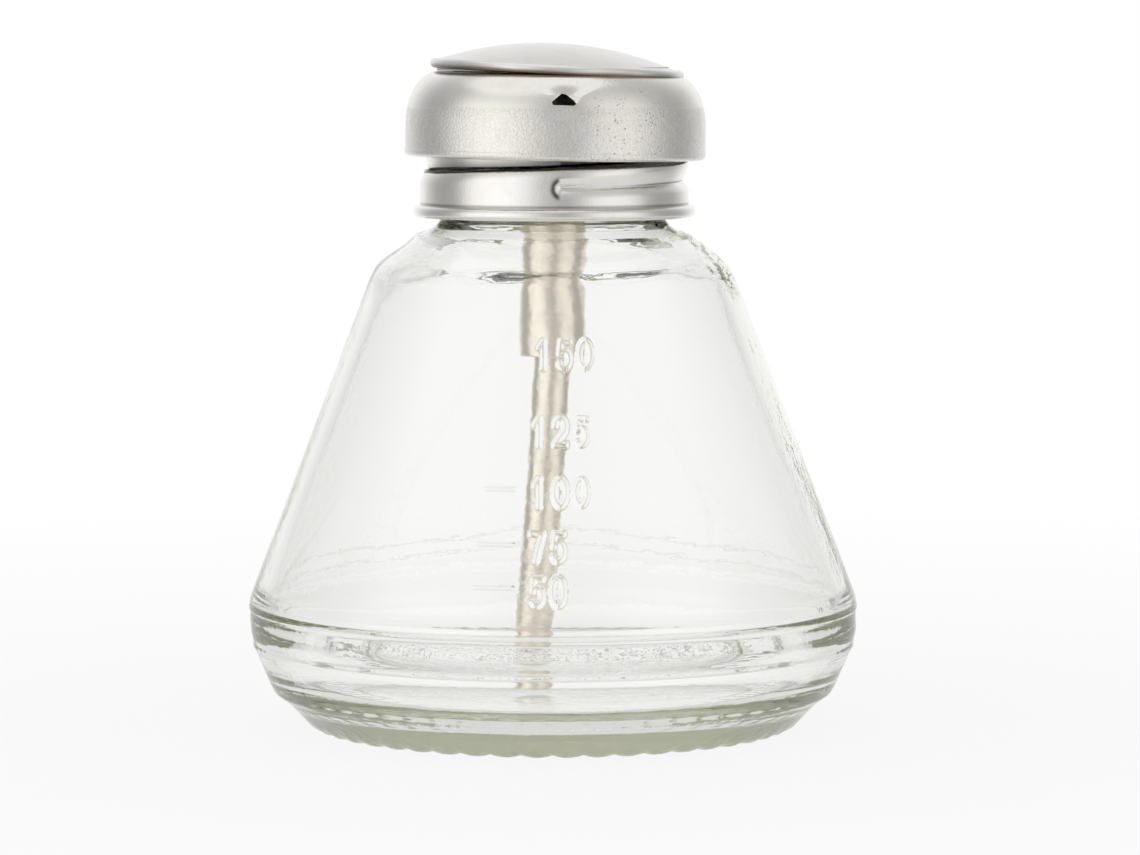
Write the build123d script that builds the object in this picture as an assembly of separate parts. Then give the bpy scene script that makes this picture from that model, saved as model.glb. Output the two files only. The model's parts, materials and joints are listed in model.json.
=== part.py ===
from build123d import *
import math
import os

# Push-down dispenser for nail polish remover: a conical glass bottle, a screw collar with a rolled
# thread, a piston pump hung in the neck, a dish head on the plunger and a hinged lid.
# Millimetres, +Z up. The origin is the centre of the bottle's bearing plane, and -Y is the front.

# Fits
fit_gap = 0.02  # radial play of pieces pressed or brazed together
running_gap = 0.05  # radial play of a piece that slides or turns in another
stop_gap = 0.1  # play between two faces that meet at the end of a travel
free_gap = 0.3  # least room round a piece that moves past another
overrun = 1.0  # how far a cutter reaches past what it cuts

# Round stretches are chords of the true arc
arc_error = 0.12  # how far a chord may lie inside its arc
arc_step = 60.0  # widest angle that a chord may span

# Bottle, from the table up
bottle_wall = 2.5
floor_height = 4.8
floor_corner = 7.0
push_up = 1.2
foot_inner = 27.2
foot_outer = 31.5
heel_radius = 38.2
heel_rise = 6.6
belt_radius = 39.4
flank_rise = 6.4
belt_rise = 4.2
cone_rise = 43.1
cone_top_radius = 23.2
shoulder_rise = 3.7
bead_radius = 18.6
bead_rise = 1.5
waist_drop = 1.3
bore_radius = 12.3
neck_wall = 2.6
neck_rise = 10.5
finish_step = 1.1
lip_round = 0.6

# Ribs and knurl of the bottle
rib_round = 0.8
rib_stand = 0.6
low_rib_height = 4.75
middle_rib_height = 10.95
high_rib_height = 16.1
knurl_count = 50
knurl_depth = 0.7

# Neck thread and the rolled thread of the collar that runs on it
thread_pitch = 3.18
thread_stand = 1.05
thread_crest = 0.6
thread_root = 1.7
thread_turns = 1.2
thread_top_land = 1.2
groove_depth = 0.8
groove_width = 2.3
groove_floor = 0.3
groove_turns = 1.4
groove_start = 71.4
groove_reach = 0.1

# Screw collar
collar_sheet = 0.35
collar_gap = 0.3
collar_corner = 1.4
collar_bead = 0.8
collar_curl = 0.62
collar_bottom = 67.3

# Gasket, flange plate and gland
gasket_thickness = 0.8
flange_thickness = 0.6
gland_radius = 6.0
gland_head = 0.6
gland_depth = 3.8
seal_radius = 3.0
seal_thickness = 1.5

# Barrel, inlet valve and dip tube
barrel_radius = 4.425
barrel_wall = 0.5
barrel_length = 28.6
vent_radius = 0.5
seat_height = 4.2
seat_inset = 0.3
socket_depth = 2.4
throat_radius = 1.1
inlet_ball_radius = 1.75
inlet_ball_lift = 1.0
ball_stop_thickness = 0.7
ball_stop_hole = 0.7
ball_stop_holes = 4
ball_stop_circle = 2.3
tube_radius = 2.5
tube_wall = 0.5
tube_slant = 3.9
tube_bend = 30.0
tube_tip_gap = 1.6

# Plunger
stroke = 4.0
stem_radius = 1.9
stem_spigot = 1.4
stem_bore = 0.7
stem_flange_radius = 3.4
stem_flange_thickness = 0.5
piston_thickness = 1.4
cup_thickness = 0.7
cup_lip = 0.5
cup_depth = 2.2
nut_flange = 0.6
nut_height = 1.4
nut_across = 4.4
stem_tail = 0.4

# Return spring
spring_wire = 0.6
spring_radius = 2.55
spring_turns = 5
spring_sides = 6

# Dish and nozzle
dish_sheet = 0.5
dish_floor_radius = 4.8
dish_depth = 2.0
dish_rim_radius = 14.0
dish_flange = 1.5
washer_thickness = 0.4
nozzle_radius = 3.3
spigot_grip = 0.9
outlet_ball_radius = 1.0
outlet_ball_lift = 0.5
nozzle_cap_wall = 0.5
nozzle_cap_skirt = 2.0
nozzle_hole = 0.3
nozzle_holes = 5

# Head band
head_turn = 3.8
band_sheet = 0.5
band_gap = 1.6
band_height = 11.1
band_curl = 0.7
band_lip = 0.4
shoulder_width = 4.2
shoulder_height = 5.3
band_rim = 0.8
notch_width = 3.2
notch_height = 1.3
notch_level = 2.95
scoop_inset = 1.3
scoop_half_angle = 42.0
scoop_tilt = 10.0

# Lid and its hinge
lid_gap = 0.3
lid_overhang = 1.1
lid_sheet = 0.5
lid_hem = 1.3
lid_dome = 2.6
lid_lip = 1.2
seal_ring_sheet = 0.5
seal_ring_width = 2.6
seal_ring_grip = 0.4
hinge_back = 1.9
hinge_pin_radius = 0.6
knuckle_wall = 0.5
knuckle_width = 3.6
ear_width = 0.8
ear_margin = 0.6
pin_head = 0.3
saddle_width = 1.2

# Levels and radii of the bottle that follow
heel_height = heel_rise
belt_height = heel_height + flank_rise
cone_height = belt_height + belt_rise
cone_top = cone_height + cone_rise
bead_height = cone_top + shoulder_rise
bead_top = bead_height + bead_rise
waist_radius = bore_radius + neck_wall
finish_radius = waist_radius + finish_step
neck_top = bead_top + neck_rise
cone_angle = math.atan2(belt_radius - cone_top_radius, cone_rise)
side_wall = bottle_wall / math.cos(cone_angle)
shoulder_slope = math.atan2(shoulder_rise, cone_top_radius - bead_radius)
thread_radius = finish_radius + thread_stand

# Collar levels and radii
collar_inner = thread_radius + collar_gap
collar_radius = collar_inner + collar_sheet
gasket_top = neck_top + gasket_thickness
flange_top = gasket_top + flange_thickness
collar_top = flange_top + collar_sheet
gland_top = flange_top + gland_head

# Barrel levels and radii
barrel_bore = barrel_radius - barrel_wall
barrel_bottom = flange_top - barrel_length
gland_bottom = flange_top - gland_depth
press_radius = barrel_bore - fit_gap
seat_bottom = barrel_bottom + seat_inset
seat_top = seat_bottom + seat_height
inlet_contact = inlet_ball_radius * math.sin(math.radians(45))
inlet_mouth = inlet_contact + (inlet_ball_radius - inlet_contact) / 2
inlet_ball_height = seat_top - (inlet_mouth - inlet_contact) + inlet_contact + fit_gap
ball_stop_bottom = inlet_ball_height + inlet_ball_radius + inlet_ball_lift + stop_gap
ball_stop_top = ball_stop_bottom + ball_stop_thickness

# Plunger levels
piston_radius = barrel_bore - running_gap
piston_top = gland_bottom - stop_gap
piston_bottom = piston_top - piston_thickness
cup_floor = piston_bottom - cup_thickness
nut_top = cup_floor
nut_bottom = nut_top - nut_height
stem_bottom = nut_bottom - stem_tail
stem_flange_bottom = gland_top + stroke + free_gap
dish_bottom = stem_flange_bottom + stem_flange_thickness
dish_floor = dish_bottom + dish_sheet
washer_top = dish_floor + washer_thickness
stem_tip = washer_top + spigot_grip
outlet_contact = outlet_ball_radius * math.sin(math.radians(45))
outlet_mouth = outlet_contact + (stem_spigot - outlet_contact) / 2
outlet_ball_height = stem_tip - (outlet_mouth - outlet_contact) + outlet_contact + fit_gap
nozzle_top = outlet_ball_height + outlet_ball_radius + outlet_ball_lift + stop_gap

# Band, lid and hinge levels
band_inner = collar_radius + band_gap
band_radius = band_inner + band_sheet
band_top = dish_floor + dish_depth + band_sheet
band_bottom = band_top - band_height
shoulder_start = band_top - shoulder_height
band_flat_radius = band_radius - shoulder_width
lid_radius = band_flat_radius + lid_overhang
lid_bottom = band_top + lid_gap
lid_rim_top = lid_bottom + lid_hem
lid_top = lid_rim_top + lid_dome
dome_reach = lid_radius - lid_hem / 2
dome_ball = (dome_reach**2 + lid_dome**2) / (2 * lid_dome)
knuckle_radius = hinge_pin_radius + running_gap + knuckle_wall
hinge_y = lid_radius + hinge_back
hinge_z = lid_rim_top - lid_sheet
notch_z = band_top - notch_level


# Outlines and simple bodies

def chord_count(radius, turn):
    """Chords that an arc of a radius and a turn in degrees is drawn with."""
    widest = math.degrees(2 * math.acos(1 - arc_error / max(radius, 2 * arc_error)))
    return math.ceil(abs(turn) / min(widest, arc_step))


def arc_points(middle, across, high, start, end):
    """Points along an arc of an ellipse with half sizes across and high, between two angles."""
    chords = chord_count(max(across, high), end - start)
    angles = [math.radians(start + (end - start) * step / chords) for step in range(chords + 1)]
    return [(middle[0] + across * math.cos(angle), middle[1] + high * math.sin(angle)) for angle in angles]


def corner_points(before, here, after, radius):
    """Points of the arc that rounds one corner of an outline."""
    back = (Vector(before[:2]) - Vector(here[:2])).normalized()
    ahead = (Vector(after[:2]) - Vector(here[:2])).normalized()
    half = math.radians(back.get_angle(ahead)) / 2
    middle = Vector(here[:2]) + (back + ahead).normalized() * (radius / math.sin(half))
    first = Vector(here[:2]) + back * (radius / math.tan(half)) - middle
    turn = 180 - 2 * math.degrees(half)
    turn = math.copysign(turn, back.cross(ahead).Z * -1)
    chords = chord_count(radius, turn)
    spokes = [first.rotate(Axis.Z, turn * step / chords) for step in range(chords + 1)]
    return [((middle + spoke).X, (middle + spoke).Y) for spoke in spokes]


def turned(*outline):
    """Solid turned about Z from a closed outline of (radius, height) or (radius, height, corner)."""
    points = []
    for index, here in enumerate(outline):
        if len(here) == 2:
            points.append(here)
        else:
            after = outline[(index + 1) % len(outline)]
            points += corner_points(outline[index - 1], here, after, here[2])
    return revolve(Plane.XZ * make_face(Polyline(*points, close=True)), Axis.Z)


def ring(inner, outer, bottom, top):
    return turned((inner, bottom), (outer, bottom), (outer, top), (inner, top))


def disc(radius, bottom, top):
    return Pos(0, 0, bottom) * Cylinder(radius, top - bottom, align=(Align.CENTER, Align.CENTER, Align.MIN))


def coil(path, section):
    """Section, drawn about the origin, swept along a helix."""
    plane = Plane(origin=path @ 0, x_dir=Vector(0, 0, 1), z_dir=path % 0)
    return sweep(plane * section, path=path, is_frenet=True)


def facing(shape):
    """Turns a head piece so that its front has the small swing that it has on the bottle."""
    return Rot(0, 0, head_turn) * shape


# Bottle

def outline_radius(height):
    """Outer radius of the bottle's foot and belt at a height."""
    if height < heel_height:
        return foot_outer + (heel_radius - foot_outer) * height / heel_height
    if height < belt_height:
        return heel_radius + (belt_radius - heel_radius) * (height - heel_height) / flank_rise
    return belt_radius


def bottle_blank():
    """Glass body with its hollow, neck and push-up, before ribs, knurl and thread."""
    inner_belt = belt_radius - side_wall
    drop = bottle_wall * (1 - math.sin(shoulder_slope)) / math.cos(shoulder_slope)
    inner_shoulder = cone_top - bottle_wall + drop / 2
    inner_shoulder_radius = inner_belt - (inner_shoulder - cone_height) * math.tan(cone_angle)
    throat_height = inner_shoulder + (inner_shoulder_radius - bore_radius) * math.tan(shoulder_slope)
    return turned(
        (0, push_up),
        (foot_inner - push_up, push_up, push_up / 2),
        (foot_inner, 0),
        (foot_outer, 0),
        (heel_radius, heel_height, floor_corner / 2),
        (belt_radius, belt_height, floor_corner),
        (belt_radius, cone_height, bottle_wall / 2),
        (cone_top_radius, cone_top, bottle_wall),
        (bead_radius, bead_height, bead_rise / 3),
        (bead_radius, bead_top, bead_rise / 3),
        (waist_radius, bead_top + waist_drop / 2, waist_drop / 2),
        (waist_radius, bead_top + waist_drop * 2),
        (finish_radius, bead_top + waist_drop * 2 + finish_step, finish_step / 2),
        (finish_radius, neck_top, lip_round),
        (bore_radius, neck_top, lip_round),
        (bore_radius, throat_height, bottle_wall),
        (inner_shoulder_radius, inner_shoulder, bottle_wall),
        (inner_belt, cone_height, bottle_wall),
        (heel_radius - side_wall, floor_height, floor_corner),
        (0, floor_height),
    )


def ribs():
    made = []
    for height in (low_rib_height, middle_rib_height, high_rib_height):
        middle = (outline_radius(height) + rib_stand - rib_round, height)
        made.append(turned(*arc_points(middle, rib_round, rib_round, -180, 180)[:-1]))
    return made


def knurl_cuts():
    """Radial vee cuts that leave a ring of pads under the foot."""
    side = knurl_depth * math.sqrt(2)
    reach = foot_outer - foot_inner + 2 * overrun
    cut = Rot(45, 0, 0) * Box(reach, side, side)
    middle = (foot_outer + foot_inner) / 2
    return [place * cut for place in PolarLocations(middle, knurl_count, start_angle=180 / knurl_count)]


def neck_thread():
    """Raised thread on the neck, half a pitch above the collar's rolled ridge."""
    top = neck_top - thread_top_land
    run = thread_turns * thread_pitch
    angle = 360 * (top - run - groove_start - thread_pitch / 2) / thread_pitch - 90
    sink = thread_stand / 2
    half_root = thread_root / 2
    half_crest = thread_crest / 2
    section = make_face(
        Polyline(
            (-half_root, -sink),
            (half_root, -sink),
            (half_crest, thread_stand),
            (-half_crest, thread_stand),
            close=True,
        )
    )
    path = Helix(thread_pitch, run, finish_radius)
    return Pos(0, 0, top - run) * Rot(0, 0, angle) * coil(path, section)


def bottle():
    body = bottle_blank() + ribs()
    body = body - knurl_cuts()
    return body + neck_thread()


# Collar

def rolled_thread(grow):
    """Bar that forms the rolled groove in one face of the sheet, grown for the sheet's other face."""
    slope = (groove_width - groove_floor) / (2 * groove_depth)
    low = -groove_depth - grow
    high = groove_reach - grow
    half_floor = groove_floor / 2 + grow * math.sqrt(1 + slope**2)
    half_low = half_floor + slope * (low + groove_depth)
    half_high = half_floor + slope * (high + groove_depth)
    section = make_face(
        Polyline((-half_low, low), (half_low, low), (half_high, high), (-half_high, high), close=True)
    )
    extra_turns = grow / (2 * math.pi * collar_radius)
    run = (groove_turns + 2 * extra_turns) * thread_pitch
    bar = coil(Helix(thread_pitch, run, collar_radius), section)
    return Pos(0, 0, groove_start - extra_turns * thread_pitch) * Rot(0, 0, -90 - 360 * extra_turns) * bar


def screw_collar():
    hole = gland_radius + free_gap
    bead_middle = (collar_inner + collar_curl, collar_bottom + collar_bead)
    outside = turned(
        (hole, bead_middle[1]),
        (collar_radius, bead_middle[1]),
        (collar_radius, collar_top, collar_corner),
        (hole, collar_top),
    )
    inside = turned(
        (0, collar_bottom),
        (collar_inner, collar_bottom),
        (collar_inner, flange_top, collar_corner - collar_sheet),
        (0, flange_top),
    )
    bead = turned(*arc_points(bead_middle, collar_curl, collar_bead, -180, 180)[:-1])
    return outside - rolled_thread(0) - (inside - rolled_thread(collar_sheet)) + bead


# Pieces hung in the neck

def neck_gasket():
    return ring(bore_radius + lip_round, finish_radius - lip_round, neck_top, gasket_top)


def flange_plate():
    return ring(barrel_radius + fit_gap, finish_radius, gasket_top, flange_top)


def pump_cylinder():
    """Barrel with vent holes that the piston covers at rest and clears on its way down."""
    tube = ring(barrel_bore, barrel_radius, barrel_bottom, flange_top)
    vent_height = gland_bottom - 2 * vent_radius
    vent = Pos(0, 0, vent_height) * Rot(90, 0, 0) * Cylinder(vent_radius, 2 * barrel_radius + overrun)
    return tube - vent


def gland_bush():
    return turned(
        (stem_radius + running_gap, gland_bottom + seal_thickness),
        (seal_radius, gland_bottom + seal_thickness),
        (seal_radius, gland_bottom),
        (press_radius, gland_bottom),
        (press_radius, flange_top),
        (gland_radius, flange_top),
        (gland_radius, gland_top, gland_head / 2),
        (stem_radius + running_gap, gland_top),
    )


def stem_seal():
    return ring(
        stem_radius + running_gap, seal_radius - fit_gap, gland_bottom, gland_bottom + seal_thickness
    )


def inlet_seat():
    socket = tube_radius + fit_gap
    return turned(
        (socket, seat_bottom),
        (press_radius, seat_bottom),
        (press_radius, seat_top),
        (inlet_mouth, seat_top),
        (throat_radius, seat_top - (inlet_mouth - throat_radius)),
        (throat_radius, seat_bottom + socket_depth),
        (socket, seat_bottom + socket_depth),
    )


def inlet_ball():
    return Pos(0, 0, inlet_ball_height) * Sphere(inlet_ball_radius)


def ball_stop():
    plate = disc(press_radius, ball_stop_bottom, ball_stop_top)
    hole = Pos(0, 0, ball_stop_bottom) * Cylinder(ball_stop_hole, 2 * ball_stop_thickness + overrun)
    return plate - [place * hole for place in PolarLocations(ball_stop_circle, ball_stop_holes)]


def dip_tube():
    """Straight in its socket, then bent to slant towards -X down to just above the floor."""
    slant = math.radians(tube_slant)
    top = seat_bottom + socket_depth
    bend = seat_bottom - tube_bend * math.tan(slant / 2)
    tip = floor_height + tube_tip_gap + tube_radius * math.sin(slant)
    end = (-(bend - tip) * math.tan(slant), 0, tip)
    path = FilletPolyline((0, 0, top), (0, 0, bend), end, radius=tube_bend)
    start = Plane(origin=(0, 0, top), z_dir=(0, 0, -1))
    return sweep(start * Circle(tube_radius), path=path) - sweep(
        start * Circle(tube_radius - tube_wall), path=path
    )


# Plunger

def plunger_stem():
    return turned(
        (stem_bore, stem_bottom),
        (stem_spigot, stem_bottom),
        (stem_spigot, piston_top),
        (stem_radius, piston_top),
        (stem_radius, stem_flange_bottom),
        (stem_flange_radius, stem_flange_bottom),
        (stem_flange_radius, dish_bottom),
        (stem_spigot, dish_bottom),
        (stem_spigot, stem_tip),
        (outlet_mouth, stem_tip),
        (stem_bore, stem_tip - (outlet_mouth - stem_bore)),
    )


def piston_disc():
    return ring(stem_spigot + fit_gap, piston_radius, piston_bottom, piston_top)


def piston_cup():
    return turned(
        (stem_spigot + fit_gap, cup_floor),
        (piston_radius - cup_lip, cup_floor),
        (piston_radius - cup_lip, piston_bottom - cup_depth),
        (piston_radius, piston_bottom - cup_depth),
        (piston_radius, piston_bottom),
        (stem_spigot + fit_gap, piston_bottom),
    )


def piston_nut():
    """Hexagon nut over a round flange that the spring bears on."""
    across = nut_across / math.sqrt(3)
    hexagon = extrude(RegularPolygon(across, 6), nut_height - nut_flange)
    flange = disc(piston_radius - cup_lip - stop_gap, nut_bottom, nut_bottom + nut_flange)
    body = flange + Pos(0, 0, nut_bottom + nut_flange) * hexagon
    return body - disc(stem_spigot + fit_gap, nut_bottom - overrun, nut_top + overrun)


def spring_path():
    length = nut_bottom - ball_stop_top - spring_wire - 2 * fit_gap
    return Helix(length / spring_turns, length, spring_radius)


def pump_spring():
    lift = ball_stop_top + spring_wire / 2 + fit_gap
    return Pos(0, 0, lift) * coil(spring_path(), RegularPolygon(spring_wire / 2, spring_sides))


def least_spring_gap():
    """Least clear distance between turns, measured on points of the wire's centre line."""
    path = spring_path()
    steps_per_turn = 24
    steps = steps_per_turn * spring_turns
    points = [path @ (step / steps) for step in range(steps + 1)]
    gaps = []
    for first, here in enumerate(points):
        for there in points[first + steps_per_turn // 2 :]:
            gaps.append((here - there).length)
    return min(gaps) - spring_wire


# Dish and nozzle

def dish():
    """Shallow bowl of even sheet with a flat flange under the band's rim."""
    rim = dish_floor + dish_depth
    edge = dish_rim_radius + dish_flange
    hole = stem_spigot + fit_gap
    curve = dish_rim_radius / 2
    return turned(
        (hole, dish_bottom),
        (dish_floor_radius, dish_bottom, curve),
        (dish_rim_radius, rim - dish_sheet, dish_sheet),
        (edge, rim - dish_sheet),
        (edge, rim),
        (dish_rim_radius, rim, dish_sheet),
        (dish_floor_radius, dish_floor, curve),
        (hole, dish_floor),
    )


def nozzle_washer():
    return ring(stem_spigot + fit_gap, nozzle_radius, dish_floor, washer_top)


def nozzle_body():
    chamber = outlet_ball_radius + free_gap + fit_gap
    return turned(
        (stem_spigot + fit_gap, washer_top),
        (nozzle_radius, washer_top),
        (nozzle_radius, nozzle_top),
        (chamber, nozzle_top),
        (chamber, stem_tip),
        (stem_spigot + fit_gap, stem_tip),
    )


def outlet_ball():
    return Pos(0, 0, outlet_ball_height) * Sphere(outlet_ball_radius)


def nozzle_cap():
    """Cap with a ring of outlet holes, pressed over the nozzle body."""
    outer = nozzle_radius + fit_gap + nozzle_cap_wall
    top = nozzle_top + nozzle_cap_wall
    shell = turned(
        (0, nozzle_top),
        (nozzle_radius + fit_gap, nozzle_top),
        (nozzle_radius + fit_gap, nozzle_top - nozzle_cap_skirt),
        (outer, nozzle_top - nozzle_cap_skirt),
        (outer, top, nozzle_cap_wall),
        (0, top),
    )
    hole = Pos(0, 0, nozzle_top) * Cylinder(nozzle_hole, 2 * nozzle_cap_wall + overrun)
    circle = outlet_ball_radius - nozzle_hole / 2
    return shell - [place * hole for place in PolarLocations(circle, nozzle_holes)]


# Head band

def band_face(inset):
    """Outer face of the band, moved in by an inset, from above its lower curl to its top."""
    shoulder_middle = (band_flat_radius, shoulder_start)
    shoulder = arc_points(shoulder_middle, shoulder_width - inset, shoulder_height - inset, 0, 90)
    return [(band_radius - inset, band_bottom + band_curl)] + shoulder


def band_shell():
    """Sheet skirt with an elliptical shoulder, a flat rim and a lower edge curled in."""
    rim = band_flat_radius - band_rim
    lip = band_radius - band_curl - band_lip
    curl_middle = (band_radius - band_curl, band_bottom + band_curl)
    inner_curl = band_curl - band_sheet
    outline = band_face(0)
    outline += [(rim, band_top), (rim, band_top - band_sheet)]
    outline += reversed(band_face(band_sheet))
    outline += arc_points(curl_middle, inner_curl, inner_curl, 0, -90)[1:]
    outline += [(lip, band_bottom + band_sheet), (lip, band_bottom)]
    outline += arc_points(curl_middle, band_curl, band_curl, -90, 0)[:-1]
    return turned(*outline)


def band_envelope(grow):
    """Solid inside the band's outer face, grown outwards, from the lower curl to the top."""
    return turned(*band_face(-grow), (0, band_top + grow), (0, band_bottom + band_curl))


def scoop(grow):
    """Cone that opens upwards from the notch, grown outwards."""
    half = math.radians(scoop_half_angle)
    height = shoulder_height + overrun
    cone = Cone(0, height * math.tan(half), height, align=(Align.CENTER, Align.CENTER, Align.MIN))
    tip = Pos(0, -(band_radius - scoop_inset), notch_z - notch_height / 2)
    return tip * Rot(scoop_tilt, 0, 0) * Pos(0, 0, -grow / math.sin(half)) * cone


def head_band():
    """Band with the finger notch: a slit under a scoop that is pressed into the shoulder."""
    half = notch_width / 2
    low = notch_z - notch_height / 2
    slit_outline = make_face(Polyline((-half, low), (half, low), (0, low + notch_height), close=True))
    slit = extrude(Plane.XZ * slit_outline, band_radius + overrun)
    pressed = (band_envelope(0) & scoop(band_sheet)) - scoop(0)
    pressed = pressed - disc(band_flat_radius - band_rim, band_bottom, lid_top)
    shell = band_shell() - scoop(0) + pressed
    return facing(shell - slit)


# Hinge

def ear_outline(radius):
    """Side view of an ear: round the pin, with a foot down to the shoulder."""
    pad = Circle(radius) + Pos(0, -shoulder_height / 2) * Rectangle(2 * radius, shoulder_height)
    return Pos(hinge_y, hinge_z) * pad


def hinge_bracket():
    """Two ears on a saddle that follows the band's shoulder."""
    ear_radius = hinge_pin_radius + ear_margin
    gap = knuckle_width / 2 + running_gap * 2
    outline = ear_outline(ear_radius)
    sides = []
    for start in (gap, -gap - ear_width):
        sides.append(extrude(Plane.YZ.offset(start) * outline, ear_width))
    saddle_half = gap + ear_width + saddle_width
    depth = 2 * saddle_width + 2 * ear_radius
    saddle_box = Pos(0, hinge_y, shoulder_start + shoulder_height / 2) * Box(
        2 * saddle_half, depth, shoulder_height
    )
    saddle = band_envelope(fit_gap + band_sheet) & saddle_box
    body = saddle + sides - band_envelope(fit_gap)
    pin_hole = Pos(0, hinge_y, hinge_z) * Rot(0, 90, 0) * Cylinder(
        hinge_pin_radius + fit_gap, 2 * saddle_half + overrun
    )
    return facing(body - pin_hole)


def hinge_pin():
    half = knuckle_width / 2 + running_gap * 2 + ear_width + pin_head
    pin = Pos(0, hinge_y, hinge_z) * Rot(0, 90, 0) * Cylinder(hinge_pin_radius, 2 * half)
    return facing(pin)


# Lid

def dome_points(rim, ball):
    """Points of the lid's dome from a radius at its rim to its middle, for a ball about its centre."""
    middle = (0, lid_top - dome_ball)
    return arc_points(middle, ball, ball, math.degrees(math.acos(rim / ball)), 90)


def lid_shell():
    """Domed sheet with a rounded hem that turns in under the rim."""
    hem_round = lid_hem / 2
    hem_middle = (dome_reach, lid_bottom + hem_round)
    lip = dome_reach - lid_lip
    outline = arc_points(hem_middle, hem_round, hem_round, -90, 90)
    outline += dome_points(dome_reach, dome_ball)[1:]
    outline += reversed(dome_points(dome_reach, dome_ball - lid_sheet))
    outline += [(dome_reach, lid_bottom + lid_sheet), (lip, lid_bottom + lid_sheet), (lip, lid_bottom)]
    return turned(*outline)


def lid():
    """Lid with a tab that curls round the hinge pin."""
    knuckle = Pos(0, hinge_y, hinge_z) * Rot(0, 90, 0) * Cylinder(knuckle_radius, knuckle_width)
    tab_length = hinge_y - dome_reach
    tab = Pos(0, hinge_y - tab_length / 2, hinge_z) * Box(knuckle_width, tab_length, knuckle_wall)
    bore = Pos(0, hinge_y, hinge_z) * Rot(0, 90, 0) * Cylinder(
        hinge_pin_radius + running_gap, knuckle_width + overrun
    )
    return facing(lid_shell() + tab + knuckle - bore)


def lid_seal():
    """Ring that is snapped into the lid's hem, with a lip that droops to the dish's rim."""
    outer = dome_reach - lid_lip + seal_ring_grip
    inner = outer - seal_ring_width
    bottom = lid_bottom + lid_sheet
    top = bottom + seal_ring_sheet
    lip_end = dish_floor + dish_depth + free_gap
    return turned(
        (inner, lip_end),
        (inner + seal_ring_sheet, lip_end),
        (inner + seal_ring_sheet, bottom),
        (outer, bottom),
        (outer, top),
        (inner, top),
    )


NODES = (
    bottle,
    neck_gasket,
    screw_collar,
    flange_plate,
    pump_cylinder,
    gland_bush,
    stem_seal,
    inlet_seat,
    inlet_ball,
    ball_stop,
    dip_tube,
    plunger_stem,
    piston_disc,
    piston_cup,
    piston_nut,
    pump_spring,
    dish,
    nozzle_washer,
    nozzle_body,
    outlet_ball,
    nozzle_cap,
    head_band,
    hinge_bracket,
    hinge_pin,
    lid,
    lid_seal,
)

os.makedirs("parts", exist_ok=True)
for build in NODES:
    export_step(build(), f"parts/{build.__name__}.step")
print("least gap between turns of the spring:", round(least_spring_gap(), 2), "mm")
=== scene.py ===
import json
import math

import bpy
import numpy as np
from mathutils import Matrix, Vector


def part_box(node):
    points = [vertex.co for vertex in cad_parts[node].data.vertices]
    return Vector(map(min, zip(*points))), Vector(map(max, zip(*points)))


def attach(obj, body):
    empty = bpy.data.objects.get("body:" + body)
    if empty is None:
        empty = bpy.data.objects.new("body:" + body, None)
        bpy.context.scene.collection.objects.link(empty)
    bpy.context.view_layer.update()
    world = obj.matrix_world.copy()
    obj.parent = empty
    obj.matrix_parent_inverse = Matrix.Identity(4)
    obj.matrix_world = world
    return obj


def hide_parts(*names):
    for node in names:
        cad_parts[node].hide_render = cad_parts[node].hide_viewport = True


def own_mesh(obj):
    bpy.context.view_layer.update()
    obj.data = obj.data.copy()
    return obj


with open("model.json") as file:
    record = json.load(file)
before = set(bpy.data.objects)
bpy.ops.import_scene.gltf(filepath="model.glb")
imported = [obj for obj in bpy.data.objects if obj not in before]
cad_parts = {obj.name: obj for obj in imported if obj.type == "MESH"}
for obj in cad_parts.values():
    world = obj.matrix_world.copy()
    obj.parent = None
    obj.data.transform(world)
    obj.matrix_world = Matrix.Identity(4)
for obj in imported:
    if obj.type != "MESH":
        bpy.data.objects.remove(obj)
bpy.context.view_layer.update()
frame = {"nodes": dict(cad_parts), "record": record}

# Shapes are worked out in millimetres and turns in degrees from +X. The front is -Y.
MM = 0.001
FRONT = 270.0


# Levels and radii that the frame gives

def low(node, axis):
    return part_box(node)[0][axis] / MM


def high(node, axis):
    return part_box(node)[1][axis] / MM


neck_top = high("bottle", 2)
belt_crest = high("bottle", 0)
collar_top = high("screw_collar", 2)
collar_bottom = low("screw_collar", 2)
bead_crest = high("screw_collar", 0)
band_bottom = low("head_band", 2)
band_top = high("head_band", 2)
lid_bottom = low("lid", 2)
lid_top = high("lid", 2)
barrel_bottom = low("pump_cylinder", 2)
barrel_radius = high("pump_cylinder", 0)
barrel_top = high("pump_cylinder", 2)

# Bottle
rib_stand = 0.16
rib_half = 0.75
rib_heights = (4.75, 10.95, 16.1)
glass_swell = 0.3
belt_radius = belt_crest - rib_stand + glass_swell
heel_radius = 38.2
belt_height = 13.0
cone_height = 17.2
foot_inner = 27.2
foot_outer = 31.5
cone_top = 60.3
cone_top_radius = 23.8
cone_start = cone_height + 0.8
cone_end = cone_top - 0.9
cone_rows = 36
inner_end = 17.4
push_up = 1.2
wall = 2.5
floor_height = 4.8
bore_radius = 12.3
finish_radius = 16.0
knurl_count = 50
knurl_depth = 0.35
ring_middle = 30.2
ring_half = 3.6
cone_slope = math.atan2(belt_radius - cone_top_radius, cone_top - cone_height)
side_wall = wall / math.cos(cone_slope)
# Between the neck's outer and inner faces
neck_middle_heights = (56.0, 59.4, 61.2, 63.6, 65.2, 66.8)
neck_middle_radii = (24.2, 22.7, 21.1, 17.9, 16.2, 13.6)
thread_pitch = 3.18
thread_stand = 1.0185
thread_half = 0.62
thread_bottom = 70.2
# Height of the thread's middle in front
thread_height = 70.9
# Height and reach of the lumps in the bore and on the shoulder
bore_lumps = (61.5, 4.0)
shoulder_lumps = (64.4, 1.5)
digit_height = 3.15
digit_width = 1.45
digit_step = 2.6
stroke_half = 0.48
stroke_rise = 0.36
# Reach of the numbers to either side of the front
number_reach = 12

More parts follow.
